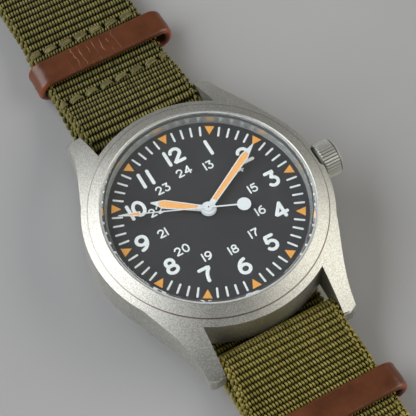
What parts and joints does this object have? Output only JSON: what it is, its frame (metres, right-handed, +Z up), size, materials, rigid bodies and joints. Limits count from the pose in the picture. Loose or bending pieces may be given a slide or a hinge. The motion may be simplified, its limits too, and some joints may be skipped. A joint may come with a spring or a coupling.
{
  "type": "field watch",
  "caption": "Round steel field watch with dark numbered dial, fluted crown and three hands, on a two-layer woven pull-through strap with leather keepers, laid open flat.",
  "frame": {"origin": "on the dial's axis, at the surface that the strap lies on", "axes": "+X to 3 o'clock and the crown, +Y to 12 o'clock and the buckle, +Z up out of the crystal"},
  "size_m": [0.0416, 0.2407, 0.0121],
  "materials": {
    "case_steel": "fine bead-blasted and brushed",
    "crown_steel": "machined flutes",
    "polished_steel": "polished",
    "crystal": "clear, flat",
    "pale_gasket": "translucent pale polymer",
    "dial_black": "matt",
    "lume_orange": "luminous paint",
    "hand_white": "satin",
    "hand_lume": "luminous paint",
    "webbing": "coarse woven",
    "leather": "smooth, waxed",
    "buckle_steel": "satin",
    "bar_steel": "turned",
    "rubber": "matt",
    "plate_nickel": "fine-grained nickel finish",
    "train_brass": "satin",
    "train_steel": "satin",
    "spring_steel": "blued grey",
    "ring_polymer": "plain"
  },
  "bodies": {
    "case": {"mid_case": "case_steel", "bezel": "case_steel", "crystal": "crystal", "crystal_gasket": "pale_gasket", "dial_flange": "polished_steel", "dial": "dial_black", "hour_wedges": "lume_orange", "case_back": "case_steel", "back_gasket": "rubber", "movement_ring": "ring_polymer", "crown_tube": "polished_steel", "main_plate": "plate_nickel", "centre_tube": "train_steel", "barrel_bridge": "plate_nickel", "train_bridge": "plate_nickel", "bridge_screws": "train_steel", "cocks": "plate_nickel", "hairspring": "spring_steel", "spring_bars": "bar_steel", "bar_springs": "spring_steel", "main_strap": "webbing", "under_strip": "webbing", "keeper_12": "leather", "keeper_6": "leather"},
    "winding_pinion": {"winding_pinion": "train_steel"},
    "sliding_pinion": {"sliding_pinion": "train_steel"},
    "stem": {"winding_stem": "train_steel", "crown": "crown_steel", "crown_gasket": "rubber"},
    "setting_lever": {"setting_lever": "train_steel"},
    "yoke": {"yoke": "train_steel"},
    "barrel": {"barrel_drum": "train_brass", "barrel_cover": "train_brass", "mainspring": "spring_steel"},
    "ratchet": {"barrel_arbor": "train_steel", "ratchet_wheel": "train_steel"},
    "crown_wheel": {"crown_wheel": "train_steel"},
    "click": {"click": "train_steel"},
    "great_wheel": {"great_wheel": "train_brass"},
    "third_wheel": {"third_wheel": "train_brass"},
    "seconds": {"fourth_wheel": "train_brass", "seconds_hand": "hand_white", "seconds_lume": "hand_lume"},
    "escape_wheel": {"escape_wheel": "train_steel"},
    "pallet_fork": {"pallet_fork": "train_steel"},
    "balance": {"balance_wheel": "train_brass"},
    "minute": {"cannon_pinion": "train_steel", "minute_hand": "hand_white", "minute_lume": "hand_lume"},
    "minute_wheel": {"minute_wheel": "train_brass"},
    "setting_wheel": {"setting_wheel": "train_steel"},
    "hour": {"hour_wheel": "train_brass", "hour_hand": "hand_white", "hour_lume": "hand_lume"},
    "tip_12_right": {"bar_tip_12_right": "bar_steel"},
    "tip_12_left": {"bar_tip_12_left": "bar_steel"},
    "tip_6_right": {"bar_tip_6_right": "bar_steel"},
    "tip_6_left": {"bar_tip_6_left": "bar_steel"},
    "buckle": {"buckle_frame": "buckle_steel"},
    "tongue": {"buckle_tongue": "buckle_steel"}
  },
  "joints": [
    {"name": "crown_turn", "type": "hinge", "parent": "case", "child": "winding_pinion", "pos_m": [0, 0, 0.00775], "axis": [1, 0, 0], "continuous": true},
    {"name": "stem_pull", "type": "slide", "parent": "winding_pinion", "child": "stem", "axis": [1, 0, 0], "range_m": [0, 0.001]},
    {"name": "sliding_pinion_slide", "type": "slide", "parent": "winding_pinion", "child": "sliding_pinion", "axis": [-1, 0, 0], "range_m": [0, 0.0006]},
    {"name": "setting_lever_turn", "type": "hinge", "parent": "case", "child": "setting_lever", "pos_m": [0.0107, -0.0034, 0.00825], "axis": [0, 0, -1], "range_deg": [0, 16.73]},
    {"name": "yoke_turn", "type": "hinge", "parent": "case", "child": "yoke", "pos_m": [0.0063, 0.0036, 0.00825], "axis": [0, 0, -1], "range_deg": [0, 9.56]},
    {"name": "crown_wheel_turn", "type": "hinge", "parent": "case", "child": "crown_wheel", "pos_m": [0.00648, 0.00202, 0.00825], "axis": [0, 0, 1], "continuous": true},
    {"name": "ratchet_turn", "type": "hinge", "parent": "case", "child": "ratchet", "pos_m": [0.0043, 0.0063, 0.00825], "axis": [0, 0, 1], "continuous": true},
    {"name": "click_turn", "type": "hinge", "parent": "case", "child": "click", "pos_m": [0.00704, 0.00934, 0.00825], "axis": [0, 0, -1], "range_deg": [0, 10], "stiffness_Nm_per_rad": 0.00001},
    {"name": "seconds_turn", "type": "hinge", "parent": "case", "child": "seconds", "pos_m": [0, 0, 0.00825], "axis": [0, 0, -1], "continuous": true},
    {"name": "third_wheel_turn", "type": "hinge", "parent": "case", "child": "third_wheel", "pos_m": [-0.00278, 0.00236, 0.00825], "axis": [0, 0, -1], "continuous": true},
    {"name": "great_wheel_turn", "type": "hinge", "parent": "case", "child": "great_wheel", "pos_m": [-0.00033, 0.00506, 0.00825], "axis": [0, 0, -1], "continuous": true},
    {"name": "barrel_turn", "type": "hinge", "parent": "case", "child": "barrel", "pos_m": [0.0043, 0.0063, 0.00825], "axis": [0, 0, -1], "continuous": true},
    {"name": "escape_wheel_turn", "type": "hinge", "parent": "case", "child": "escape_wheel", "pos_m": [-0.00108, -0.00267, 0.00825], "axis": [0, 0, -1], "continuous": true},
    {"name": "pallet_fork_swing", "type": "hinge", "parent": "case", "child": "pallet_fork", "pos_m": [-0.00287, -0.00434, 0.00825], "axis": [0, 0, -1], "range_deg": [-4, 4]},
    {"name": "balance_swing", "type": "hinge", "parent": "case", "child": "balance", "pos_m": [-0.0053, -0.0066, 0.00825], "axis": [0, 0, -1], "range_deg": [-270, 270], "stiffness_Nm_per_rad": 0.0000001},
    {"name": "minute_turn", "type": "hinge", "parent": "case", "child": "minute", "pos_m": [0, 0, 0.00825], "axis": [0, 0, -1], "continuous": true},
    {"name": "minute_wheel_turn", "type": "hinge", "parent": "case", "child": "minute_wheel", "pos_m": [0.00144, -0.00249, 0.00825], "axis": [0, 0, -1], "continuous": true},
    {"name": "setting_wheel_turn", "type": "hinge", "parent": "case", "child": "setting_wheel", "pos_m": [0.00369, 0, 0.00825], "axis": [0, 0, -1], "continuous": true},
    {"name": "hour_turn", "type": "hinge", "parent": "case", "child": "hour", "pos_m": [0, 0, 0.00825], "axis": [0, 0, -1], "continuous": true},
    {"name": "tip_12_right_press", "type": "slide", "parent": "case", "child": "tip_12_right", "axis": [-1, 0, 0], "range_m": [0, 0.0009], "stiffness_N_per_m": 60, "deforming": ["bar_springs"]},
    {"name": "tip_12_left_press", "type": "slide", "parent": "case", "child": "tip_12_left", "axis": [1, 0, 0], "range_m": [0, 0.0009], "stiffness_N_per_m": 60, "deforming": ["bar_springs"]},
    {"name": "tip_6_right_press", "type": "slide", "parent": "case", "child": "tip_6_right", "axis": [-1, 0, 0], "range_m": [0, 0.0009], "stiffness_N_per_m": 60, "deforming": ["bar_springs"]},
    {"name": "tip_6_left_press", "type": "slide", "parent": "case", "child": "tip_6_left", "axis": [1, 0, 0], "range_m": [0, 0.0009], "stiffness_N_per_m": 60, "deforming": ["bar_springs"]},
    {"name": "buckle_turn", "type": "hinge", "parent": "case", "child": "buckle", "pos_m": [0, 0.076, 0.00215], "axis": [1, 0, 0], "range_deg": [0, 45]},
    {"name": "tongue_turn", "type": "hinge", "parent": "buckle", "child": "tongue", "pos_m": [0, 0.076, 0.00215], "axis": [1, 0, 0], "range_deg": [0, 60]}
  ],
  "couplings": [
    {"joint": "third_wheel_turn", "follows": "seconds_turn", "ratio": -0.16667},
    {"joint": "great_wheel_turn", "follows": "seconds_turn", "ratio": 0.027778},
    {"joint": "barrel_turn", "follows": "seconds_turn", "ratio": -0.0039683},
    {"joint": "escape_wheel_turn", "follows": "seconds_turn", "ratio": -5},
    {"joint": "minute_wheel_turn", "follows": "minute_turn", "ratio": -0.33333},
    {"joint": "hour_turn", "follows": "minute_turn", "ratio": 0.083333},
    {"joint": "setting_wheel_turn", "follows": "minute_turn", "ratio": 0.6},
    {"joint": "crown_wheel_turn", "follows": "crown_turn", "ratio": 0.63636},
    {"joint": "ratchet_turn", "follows": "crown_turn", "ratio": -0.53846},
    {"joint": "sliding_pinion_slide", "follows": "stem_pull", "ratio": 0.6},
    {"joint": "setting_lever_turn", "follows": "stem_pull", "rad_per_m": 291.62},
    {"joint": "yoke_turn", "follows": "stem_pull", "rad_per_m": 166.43}
  ]
}
